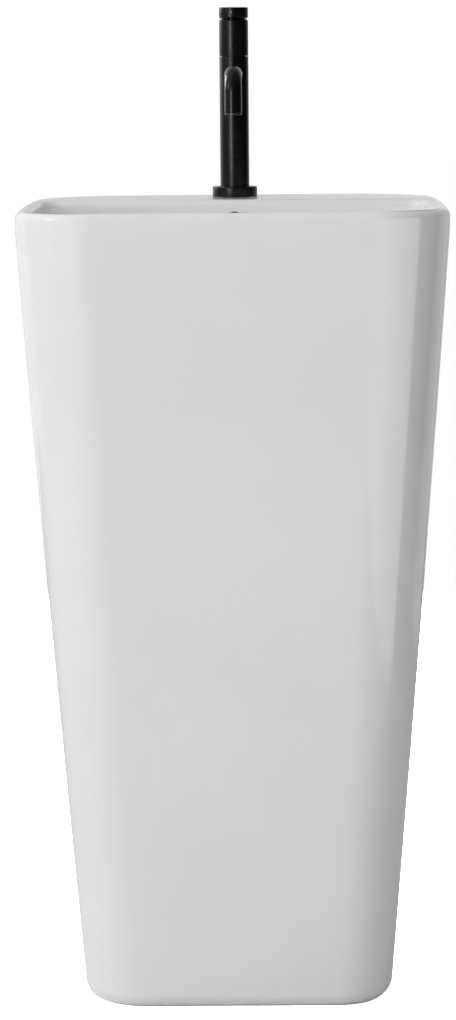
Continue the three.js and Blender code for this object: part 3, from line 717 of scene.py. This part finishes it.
def knob_pieces(centre):
    """The knob with the spigot that closes its groove from inside, its set screw and its indicator dot."""
    spigot, top = heights("tap_knob", RIM_Z)
    bottom = spigot + 3.8 * MM
    spigot_r, stem_hole_r, stem_hole_top = 12.9 * MM, 4.3 * MM, top - 3.1 * MM
    knob = lathe("tap_turning_knob", [
        (0, stem_hole_top), (stem_hole_r, stem_hole_top), (stem_hole_r, spigot), (spigot_r, spigot),
        (spigot_r, bottom), (TAP_R - GROOVE_BEVEL, bottom, 0.2 * MM),
        (TAP_R, bottom + GROOVE_BEVEL, 0.3 * MM), (TAP_R, top, 1.1 * MM), (0, top),
    ], BLACK, centre, segments=128)
    # The dot, its hole and the screw are turned about a level axis through the tap's, towards the front.
    dot_x, _, dot_z = middle("knob_indicator")
    dot_middle_r, hole_r, hole_end = TAP_R - 1.6 * MM, 2.15 * MM, -3 * MM
    place = (0, TAP_Y, dot_z)
    turned = Matrix.Rotation(math.asin(dot_x / dot_middle_r), 4, "Z") @ ALONG_Y
    cut(knob, [hole_cutter("dot_hole", hole_r, -TAP_R, hole_end, place, turned, lips=False)])
    finish_mesh(knob)
    stands_for(knob, "tap_knob")
    screw_r, screw_face, screw_tip = 1.9 * MM, -12.6 * MM, -4.1 * MM
    screw = lathe("knob_screw", [
        (0, screw_face), (screw_r, screw_face, 0.2 * MM), (screw_r, screw_tip), (0, screw_tip),
    ], STEEL, place, turned, 32)
    socket_r, socket_start, socket_end = 1 * MM, -14 * MM, -9 * MM
    cut(screw, [lathe("screw_socket", [
        (0, socket_start), (socket_r, socket_start), (socket_r, socket_end), (0, socket_end),
    ], STEEL, place, turned, 6)])
    finish_mesh(screw)
    stands_for(screw, "knob_set_screw")
    dot_r, dot_back = 1.95 * MM, -13 * MM
    turned_piece("knob_dot", "knob_indicator", [
        (0, -TAP_R + 0.1 * MM), (1.3 * MM, -TAP_R + 0.15 * MM, 0.3 * MM),
        (dot_r, -TAP_R + 0.45 * MM, 0.2 * MM), (dot_r, dot_back), (0, dot_back),
    ], place, turned, 32)


def spout():
    """Tube that leaves the tap level and bends down, open at its lower end only."""
    low, high = box("tap_spout")
    radius, bore, bend, edge, tip_length = half_width("tap_spout"), 6.6 * MM, 20 * MM, 0.6 * MM, 1 * MM
    axis_z = high[2] - radius
    end_y = low[1] + radius
    start_y = TAP_Y - TAP_R + 5 * MM
    end_z = low[2]
    way = [((0, y, axis_z), 0.0) for y in np.linspace(start_y, end_y + bend, 8)[:-1]]
    for a in quarter(24):
        place = (0, end_y + bend * (1 - math.sin(a)), axis_z - bend * (1 - math.cos(a)))
        way.append((place, a))
    way += [((0, end_y, z), math.pi / 2) for z in np.linspace(axis_z - bend, end_z + tip_length, 6)[1:]]
    segments = 64
    rings = []

    def ring(place, angle, ring_radius, along=0.0):
        forward = np.array([0, -math.cos(angle), -math.sin(angle)])
        up = np.array([0, -math.sin(angle), math.cos(angle)])
        turns = TAU * np.arange(segments) / segments
        side = np.outer(np.cos(turns), [1, 0, 0]) + np.outer(np.sin(turns), up)
        rings.append(np.array(place) + forward * along + side * ring_radius)

    for place, angle in way:
        ring(place, angle, radius)
    tip, tip_angle = way[-1]
    for a in quarter(5):
        ring(tip, tip_angle, radius - edge * (1 - math.cos(a)), tip_length - edge + edge * math.sin(a))
    for place, angle in way[::-1]:
        ring(place, angle, bore, tip_length if place is tip else 0)
    faces = []
    for level in range(len(rings)):
        a, b = level * segments, (level + 1) % len(rings) * segments
        faces += [[a + i, a + (i + 1) % segments, b + (i + 1) % segments, b + i] for i in range(segments)]
    piece = new_object("tap_j_spout", np.vstack(rings), faces, BLACK)
    stands_for(piece, "tap_spout")
    aerator(end_y, end_z)


def aerator(y, end_z):
    radius = half_width("aerator_housing")
    bottom, top = heights("aerator_housing")
    bore, neck_r, shoulder = 5.2 * MM, 6.3 * MM, end_z - 0.3 * MM
    turned_piece("aerator_ring", "aerator_housing", [
        (bore, bottom), (radius, bottom, 0.5 * MM), (radius, shoulder), (neck_r, shoulder),
        (neck_r, top), (bore, top), (bore, bottom),
    ], (0, y, 0), segments=64)
    bottom, top = heights("aerator_insert")
    insert_r, hole_r = 4.9 * MM, 0.45 * MM
    insert = lathe("aerator_screen", [
        (hole_r, bottom), (insert_r, bottom, 0.3 * MM), (insert_r, top, 0.3 * MM), (hole_r, top),
        (hole_r, bottom),
    ], PLASTIC, (0, y, 0), segments=48)
    holes = []
    for count, ring_radius in ((6, 1.5 * MM), (12, 3.1 * MM)):
        for i in range(count):
            angle = TAU * (i + 0.4) / count
            place = (ring_radius * math.cos(angle), y + ring_radius * math.sin(angle), 0)
            holes.append(hole_cutter("screen_hole", hole_r, bottom, top, place, lips=False))
    cut(insert, holes)
    finish_mesh(insert)
    stands_for(insert, "aerator_insert")


def overflow_ring():
    radius, front, back, centre = place_of("overflow_ring", True)
    bore, neck_r, wall_face = 8 * MM, 10.2 * MM, front + 1.8 * MM
    turned_piece("overflow_trim", "overflow_ring", [
        (bore, front + 0.8 * MM, 0.6 * MM), (radius - 1.2 * MM, front, 0.6 * MM),
        (radius, front + 1.4 * MM, 0.3 * MM), (radius, wall_face), (neck_r, wall_face),
        (neck_r, back), (bore, back), (bore, front + 0.8 * MM),
    ], centre, ALONG_Y, 64)


# ---------- waste and plug ----------

def waste():
    outer, bore, flange_r = 22.3 * MM, 18.6 * MM, 31.5 * MM
    bottom, _ = heights("waste_body")
    flange_bottom, flange_top = SEAT_Z + 1.6 * MM, SEAT_Z + 4 * MM
    body = lathe("waste_fitting", [
        (bore, bottom, 0.3 * MM), (outer, bottom, 0.8 * MM), (outer, flange_bottom),
        (flange_r, flange_bottom), (flange_r, SEAT_Z + 2.7 * MM, 0.5 * MM), (28 * MM, flange_top, 3 * MM),
        (24 * MM, flange_top, 1.5 * MM), (bore, SEAT_Z - 6 * MM, 2 * MM), (bore, bottom, 0.3 * MM),
    ], BLACK, AT_DRAIN, segments=96,
        relief=thread(outer, 2 * MM, 0.7 * MM, bottom + 2 * MM, BOSS_Z - 1 * MM), step=0.4 * MM)
    bar_z, bar_half = 650 * MM, 2.5 * MM
    bar = block("waste_bar", (bore + 1 * MM, 5.5 * MM, bar_half), (0, DRAIN_Y, bar_z), BLACK)
    cut(body, [bar], "UNION")
    slot_place = (0, DRAIN_Y, 684 * MM)
    slot_length, slot_width, slot_height = outer + 5 * MM, 6 * MM, 4.5 * MM
    cut(body, [
        block("slot_across", (slot_length, slot_width, slot_height), slot_place, BLACK),
        block("slot_along", (slot_width, slot_length, slot_height), slot_place, BLACK),
        hole_cutter("guide_hole", 3.8 * MM, bar_z - bar_half, bar_z + bar_half, AT_DRAIN, lips=False),
    ])
    finish_mesh(body)
    stands_for(body, "waste_body")
    plug_dome()


def plug_dome():
    _, top = heights("plug_cap")
    underside, rim_bottom, rim_r = SEAT_Z + 1 * MM, SEAT_Z + 4.4 * MM, 30 * MM
    turned_piece("plug_dome", "plug_cap", [
        (0, underside), (17 * MM, underside), (21 * MM, SEAT_Z + 1.6 * MM, 1 * MM),
        (23.5 * MM, rim_bottom, 0.5 * MM), (rim_r, rim_bottom, 0.4 * MM),
        (rim_r, SEAT_Z + 5.6 * MM, 0.8 * MM), (26 * MM, SEAT_Z + 6.9 * MM, 8 * MM),
        (16 * MM, SEAT_Z + 8.4 * MM, 12 * MM), (6 * MM, top, 8 * MM), (0, top),
    ], AT_DRAIN, segments=96)


# ---------- fittings under the deck, in the pedestal and at the wall ----------

def ring_piece(node, bore, fillet=0.4 * MM, along_y=False, segments=72, **surface):
    """Turned ring or tube with rounded edges in the place of a CAD node."""
    radius, start, end, centre = place_of(node, along_y)
    seam = (bore, (start + end) / 2)
    detail(node, [
        seam, (bore, start, fillet), (radius, start, fillet), (radius, end, fillet), (bore, end, fillet),
        seam,
    ], centre, along_y, segments, **surface)


def nut_piece(node, bore, along_y=False):
    """Hexagon nut with turned chamfers on both faces."""
    corner, start, end, centre = place_of(node, along_y)
    face = 0.84 * corner
    bevel = (corner - face) * math.tan(math.radians(30))
    seam = (bore, (start + end) / 2)
    detail(node, [
        seam, (bore, start, 0.6 * MM), (face, start), (corner, start + bevel), (corner, end - bevel),
        (face, end), (bore, end, 0.6 * MM), seam,
    ], centre, along_y, 96, relief=hexagon(corner), step=corner / 20, smooth_angle=28)


def detail(node, points, centre, along_y=False, segments=72, **surface):
    turn = ALONG_Y if along_y else None
    turned_piece(f"{node}_detail", node, points, centre, turn, segments, **surface)


def grooved(node, bore, grooves=2, depth=0.3 * MM):
    """Soft washer with shallow rings pressed into both of its faces."""
    radius, start, end, centre = place_of(node)
    edge = 0.2 * MM
    width = (radius - bore) / (2 * grooves + 1)
    lower, upper = [], []
    for i in range(2 * grooves + 1):
        sunk = depth if i % 2 else 0
        for r in (bore + i * width + edge / 2, bore + (i + 1) * width - edge / 2):
            lower.append((r, start + sunk))
            upper.append((r, end - sunk))
    seam = (bore, (start + end) / 2)
    detail(node, [seam, *lower, (radius, start + edge), (radius, end - edge), *upper[::-1], seam], centre)


def tap_fittings():
    grooved("tap_base_gasket", 17 * MM)
    bottom, top = heights("tap_shank")
    ring_piece("tap_shank", 12.6 * MM, 0.6 * MM, segments=96, step=0.3 * MM,
               relief=thread(half_width("tap_shank"), 1.6 * MM, 0.6 * MM, bottom + 1 * MM, top - 6 * MM))
    grooved("deck_rubber_washer", SHANK_HOLE_R, 3, 0.4 * MM)
    ring_piece("deck_steel_washer", SHANK_HOLE_R, 0.3 * MM)
    nut_piece("tap_nut", SHANK_HOLE_R)
    nut_piece("cartridge_nut", 6 * MM)
    for node in ("hot_inlet_tail", "cold_inlet_tail"):
        ring_piece(node, 3 * MM, 0.5 * MM, segments=64, step=0.4 * MM,
                   relief=braid(half_width(node), 16, 9 * MM, 0.5 * MM))
    cartridge()


def cartridge():
    radius, bottom, top, centre = place_of("cartridge_body")
    hole, floor = 5 * MM, top - 9.7 * MM
    groove_r, groove_bottom, groove_top = radius - 1.2 * MM, bottom + 5 * MM, bottom + 7.4 * MM
    detail("cartridge_body", [
        (0, bottom), (radius - 1 * MM, bottom), (radius, bottom + 1 * MM),
        (radius, groove_bottom, 0.2 * MM), (groove_r, groove_bottom, 0.2 * MM),
        (groove_r, groove_top, 0.2 * MM), (radius, groove_top, 0.2 * MM),
        (radius, top - 1.7 * MM, 0.5 * MM), (radius - 3 * MM, top, 0.5 * MM),
        (hole, top, 0.4 * MM), (hole, floor), (0, floor),
    ], centre)
    radius, bottom, top, centre = place_of("cartridge_stem")
    bevel = 0.7 * MM
    detail("cartridge_stem", [
        (0, bottom), (radius, bottom, 0.3 * MM), (radius, top - bevel), (radius - bevel, top), (0, top),
    ], centre, segments=80, step=0.5 * MM,
        relief=ribs(radius, 20, 0.35 * MM, top - 11 * MM, top - 0.8 * MM))


def waste_fittings():
    waste_bore = 22.6 * MM
    grooved("waste_top_seal", waste_bore, 1)
    grooved("waste_bottom_seal", waste_bore)
    nut_piece("waste_back_nut", waste_bore)
    grooved("plug_seal", 3.9 * MM, 2)
    radius, bottom, top, centre = place_of("plug_stem")
    lower_r, upper_r, collar_bottom, collar_top = 3.4 * MM, 3 * MM, 663 * MM, 665 * MM
    detail("plug_stem", [
        (0, bottom), (lower_r, bottom, 1.2 * MM), (lower_r, collar_bottom, 0.3 * MM),
        (radius, collar_bottom, 0.4 * MM), (radius, collar_top, 0.4 * MM), (upper_r, collar_top, 0.3 * MM),
        (upper_r, top - 0.6 * MM), (2.4 * MM, top), (0, top),
    ], centre, segments=64, step=0.25 * MM,
        relief=thread(upper_r, 1 * MM, 0.35 * MM, SEAT_Z - 12 * MM, top - 0.5 * MM))
    radius, bottom, top, centre = place_of("tailpiece")
    pipe_r, bore, cone, bead = 16 * MM, 14.4 * MM, 600 * MM, 588 * MM
    detail("tailpiece", [
        (bore, cone), (bore, bottom, 0.3 * MM), (pipe_r, bottom, 0.6 * MM),
        (pipe_r, bead - 3 * MM, 0.6 * MM), (pipe_r + 1 * MM, bead, 0.8 * MM),
        (pipe_r, bead + 3 * MM, 0.6 * MM), (pipe_r, cone, 1 * MM), (radius, cone + 4 * MM, 1 * MM),
        (radius, top, 0.6 * MM), (bore, top, 0.3 * MM), (bore, cone),
    ], centre)


def trap():
    radius = half_width("trap_body")
    joint, neck_top = heights("trap_body")
    wall, bore, neck = 3 * MM, 16.3 * MM, 22 * MM
    pitch, thread_depth = 3 * MM, 0.9 * MM
    roof = neck_top - 14 * MM
    ceiling, inner = roof - wall, radius - wall
    body = lathe("trap_body_detail", [
        (inner, joint), (radius, joint, 0.6 * MM), (radius, roof, 5 * MM), (neck, roof, 2 * MM),
        (neck, neck_top, 0.6 * MM), (bore, neck_top, 0.4 * MM), (bore, ceiling), (inner, ceiling),
        (inner, joint),
    ], PLASTIC, AT_DRAIN, relief=thread(neck, pitch, thread_depth, roof + 4 * MM, neck_top), step=0.5 * MM)
    branch_place = (0, DRAIN_Y, middle("trap_outlet_pipe")[2])
    branch, branch_start, branch_end = 20 * MM, radius - 3 * wall, box("trap_body")[1][1] - DRAIN_Y
    arm = lathe("trap_arm", [
        (0, branch_start), (branch, branch_start), (branch, branch_end, 0.6 * MM), (0, branch_end),
    ], PLASTIC, branch_place, ALONG_Y, step=0.5 * MM,
        relief=thread(branch, pitch, thread_depth, radius + 5 * MM, branch_end))
    # The arm is cut to end inside the thickness of the body's wall before the two are joined.
    middle_of_wall = radius - wall / 2
    cut(arm, [lathe("trap_inside", [(0, joint), (middle_of_wall, joint), (middle_of_wall, roof), (0, roof)],
                    PLASTIC, AT_DRAIN)])
    cut(body, [arm], "UNION")
    cut(body, [hole_cutter("arm_bore", bore, branch_start, branch_end, branch_place, ALONG_Y, lips=False)])
    finish_mesh(body)
    stands_for(body, "trap_body")
    trap_cup(radius, wall, joint)
    ring_piece("trap_cup_seal", inner, 0.8 * MM)
    nut_piece("trap_inlet_nut", bore)
    nut_piece("trap_outlet_nut", bore, True)
    ring_piece("trap_outlet_pipe", 14.4 * MM, 0.4 * MM, True)
    rosette(bore)


def rosette(bore):
    outer, start, end, centre = place_of("outlet_rosette", True)
    collar = bore + 3 * MM
    detail("outlet_rosette", [
        (bore, end - 1 * MM), (bore, start, 0.3 * MM), (collar, start, 1.5 * MM),
        (outer - 6 * MM, start + 2.2 * MM, 6 * MM), (outer - 1 * MM, end - 3 * MM, 1.5 * MM),
        (outer, end, 0.3 * MM), (outer - 2 * MM, end), (outer - 3 * MM, end - 2 * MM, 1 * MM),
        (collar, start + 3.5 * MM, 1 * MM), (bore, end - 1 * MM),
    ], centre, True)


def trap_cup(radius, wall, joint):
    outer, floor, skirt, centre = place_of("trap_cup")
    landing, inside_floor = joint - wall, floor + 5 * MM
    inner, skirt_bore = radius - wall, radius + 0.3 * MM
    detail("trap_cup", [
        (0, floor + 2 * MM), (radius - 18 * MM, floor + 2 * MM, 1 * MM), (radius - 15 * MM, floor, 1 * MM),
        (radius - 8 * MM, floor, 3 * MM), (radius - 1 * MM, floor + 8 * MM, 3 * MM),
        (outer, floor + 14 * MM, 2 * MM), (outer, skirt, 0.6 * MM), (skirt_bore, skirt, 0.3 * MM),
        (skirt_bore, landing), (inner, landing, 0.5 * MM), (inner, floor + 9 * MM, 5 * MM),
        (radius - 9 * MM, inside_floor, 3 * MM), (0, inside_floor),
    ], centre, segments=144, step=1.5 * MM,
        relief=ribs(outer, 24, 1.1 * MM, floor + 16 * MM, joint - 4 * MM))


def wall_fixings():
    for side in ("left", "right"):
        stud = f"wall_stud_{side}"
        radius, start, end, centre = place_of(stud, True)
        detail(stud, [
            (0, start), (radius, start, 0.8 * MM), (radius, end, 0.4 * MM), (0, end),
        ], centre, True, 48, step=0.25 * MM,
            relief=thread(radius, 1.25 * MM, 0.5 * MM, start + 0.5 * MM, end - 1 * MM))
        bore = 4.3 * MM
        ring_piece(f"wall_washer_{side}", bore, 0.3 * MM, True)
        nut_piece(f"wall_nut_{side}", bore, True)


# ---------- stage, light and camera ----------

def show_apart(tree, lighting, seen, output):
    """Sends one shader to rays that carry light and another to rays that come straight from a camera."""
    path = tree.nodes.new("ShaderNodeLightPath")
    mix = tree.nodes.new("ShaderNodeMixShader")
    tree.links.new(path.outputs["Is Camera Ray"], mix.inputs["Fac"])
    tree.links.new(lighting, mix.inputs[1])
    tree.links.new(seen, mix.inputs[2])
    tree.links.new(mix.outputs["Shader"], tree.nodes[output].inputs["Surface"])


def floor():
    """Pale floor that the camera sees bright enough to leave only the contact shadow."""
    half = 2.6
    corners = [(-half, -half, 0), (half, -half, 0), (half, half, 0), (-half, half, 0)]
    material, tree, principled = shader("pale_floor")
    vary(tree, principled, noise(tree, 1.5, 2), (0.88, 0.88, 0.88), (0.92, 0.92, 0.92))
    principled.inputs["Roughness"].default_value = 0.8
    principled.inputs["Specular IOR Level"].default_value = 0.1
    seen = tree.nodes.new("ShaderNodeBsdfDiffuse")
    seen.inputs["Color"].default_value = (FLOOR_GAIN, FLOOR_GAIN, FLOOR_GAIN, 1)
    show_apart(tree, principled.outputs["BSDF"], seen.outputs["BSDF"], "Material Output")
    plane = new_object("floor", corners, [[0, 1, 2, 3]], material)


def area_light(name, azimuth, elevation, size, power, distance=2.8, in_gloss=True, target=(0, 0, 0.75)):
    """Soft box that faces the target. Azimuth 0 is the camera's side and 90 its right, in degrees."""
    data = bpy.data.lights.new(name, "AREA")
    data.shape = "RECTANGLE"
    data.size, data.size_y = size
    data.energy = power
    obj = bpy.data.objects.new(name, data)
    turn, rise = math.radians(azimuth), math.radians(elevation)
    way = Vector((math.sin(turn) * math.cos(rise), -math.cos(turn) * math.cos(rise), math.sin(rise)))
    obj.location = Vector(target) + way * distance
    obj.rotation_euler = (-way).to_track_quat("-Z", "Y").to_euler()
    obj.visible_glossy = in_gloss
    bpy.context.scene.collection.objects.link(obj)
    return obj


# Brightness of the studio round the object at eye level and overhead, each as pairs of an azimuth in
# degrees from the camera's side towards its right, and a brightness.
WALLS = [(-180, 0.65), (-176, 0.62), (-165, 0.75), (-150, 1), (-125, 1), (-105, 0.35), (-60, 0.25),
         (-48, 0.3), (-42, 0.8), (-30, 0.8), (-22, 0.15), (0, 0.08), (60, 0.06), (112, 0.04),
         (132, 0.45), (150, 0.6), (174, 0.8), (180, 0.65)]
CEILING = [(-180, 0.45), (-75, 0.85), (-25, 0.2), (60, 0.15), (120, 0.2), (180, 0.45)]
CEILING_STARTS, CEILING_FULL = 0.35, 0.7     # sines of the elevation
FLOOR_GAIN = 9


def ring_of_light(tree, azimuth_share, stops):
    ramp = tree.nodes.new("ShaderNodeValToRGB")
    elements = ramp.color_ramp.elements
    while len(elements) < len(stops):
        elements.new(0.5)
    for element, (degrees, value) in zip(elements, stops):
        element.position = (degrees + 180) / 360
        element.color = (value, value, value, 1)
    tree.links.new(azimuth_share, ramp.inputs["Fac"])
    return ramp.outputs["Color"]


def math_node(tree, operation, first, second):
    node = tree.nodes.new("ShaderNodeMath")
    node.operation = operation
    for socket, value in zip(node.inputs, (first, second)):
        if isinstance(value, (int, float)):
            socket.default_value = value
        else:
            tree.links.new(value, socket)
    return node.outputs["Value"]


def studio():
    """World whose light depends on direction. The camera itself sees plain white."""
    world = bpy.data.worlds.new("studio")
    bpy.context.scene.world = world
    world.use_nodes = True
    tree = world.node_tree
    direction = tree.nodes.new("ShaderNodeTexCoord")
    axes = tree.nodes.new("ShaderNodeSeparateXYZ")
    tree.links.new(direction.outputs["Generated"], axes.inputs["Vector"])
    towards_camera = math_node(tree, "MULTIPLY", axes.outputs["Y"], -1)
    azimuth = math_node(tree, "ARCTAN2", axes.outputs["X"], towards_camera)
    share = spread(tree, azimuth, 0, 1, -math.pi, math.pi)
    sky = tree.nodes.new("ShaderNodeMixRGB")
    tree.links.new(spread(tree, axes.outputs["Z"], 0, 1, CEILING_STARTS, CEILING_FULL), sky.inputs["Fac"])
    tree.links.new(ring_of_light(tree, share, WALLS), sky.inputs["Color1"])
    tree.links.new(ring_of_light(tree, share, CEILING), sky.inputs["Color2"])
    ambient = tree.nodes["Background"]
    tree.links.new(sky.outputs["Color"], ambient.inputs["Color"])
    seen = tree.nodes.new("ShaderNodeBackground")
    seen.inputs["Color"].default_value = (1, 1, 1, 1)
    show_apart(tree, ambient.outputs["Background"], seen.outputs["Background"], "World Output")


def shine_on(light, names):
    """Lets a light shine on the named pieces and on nothing else."""
    receivers = bpy.data.collections.new(f"{light.name}_receivers")
    for name in names:
        receivers.objects.link(bpy.data.objects[name])
    light.light_linking.receiver_collection = receivers


def reflected_panel():
    """Panel that only shows as a reflection in the right front corner, brightest at its far end."""
    panel = area_light("front_panel", 24, 0, (2.27, 1), 9, 1.46, target=(0.19, -0.17, 0.5))
    panel.rotation_euler.rotate(Matrix.Rotation(math.radians(46), 3, "Z"))
    panel.data.spread = math.radians(140)
    panel.visible_diffuse = False
    panel.visible_camera = False
    shine_on(panel, ["ceramic_sink"])


def lights():
    studio()
    area_light("key", 5, 37, (0.9, 0.9), 25, in_gloss=False)
    area_light("low_key", -45, 8, (0.7, 0.7), 15, in_gloss=False)
    area_light("side", -68, 26, (0.6, 0.6), 6)
    area_light("rim", -105, 30, (0.7, 0.7), 9, in_gloss=False)
    tap_middle = (0, TAP_Y, RIM_Z + 150 * MM)
    tap = ["tap_base_flange", "tap_column", "tap_j_spout", "tap_upper_sleeve", "tap_turning_knob",
           "knob_dot", "aerator_ring"]
    shine_on(area_light("tap_strip", -26, 0, (0.42, 0.9), 10, target=tap_middle), tap)
    shine_on(area_light("tap_side", -128, 15, (0.4, 0.8), 30, target=tap_middle), tap)
    edge = area_light("edge", 124, 0, (0.9, 1.25), 1.4, 1.6, target=(0, 0, RIM_Z - 210 * MM))
    shine_on(edge, ["ceramic_sink"])
    reflected_panel()


# Millimetres of lens and sensor, place, and turns in radians, from a fit to the outline in the photo.
CAMERA = dict(sensor=36, lens=118.838, place=(39.5 * MM, -3638.52 * MM, 1019.81 * MM),
              yaw=-0.0133, pitch=0.1375, roll=-0.0089)


def camera():
    data = bpy.data.cameras.new("photo_camera")
    data.sensor_width = CAMERA["sensor"]
    data.lens = CAMERA["lens"]
    data.clip_end = 60
    yaw, pitch, roll = CAMERA["yaw"], CAMERA["pitch"], CAMERA["roll"]
    forward = Vector((math.sin(yaw) * math.cos(pitch), math.cos(yaw) * math.cos(pitch), -math.sin(pitch)))
    right = Vector((math.cos(yaw), -math.sin(yaw), 0))
    up = right.cross(forward)
    rolled_right = math.cos(roll) * right + math.sin(roll) * up
    rolled_up = math.cos(roll) * up - math.sin(roll) * right
    axes = Matrix((rolled_right, rolled_up, -forward)).transposed().to_4x4()
    obj = bpy.data.objects.new("photo_camera", data)
    obj.matrix_world = Matrix.Translation(CAMERA["place"]) @ axes
    bpy.context.scene.collection.objects.link(obj)
    bpy.context.scene.camera = obj


camera()
ceramic()
overflow_ring()
tap_pieces()
spout()
tap_fittings()
waste()
waste_fittings()
trap()
wall_fixings()
floor()
lights()
bpy.context.scene.view_settings.view_transform = "Standard"
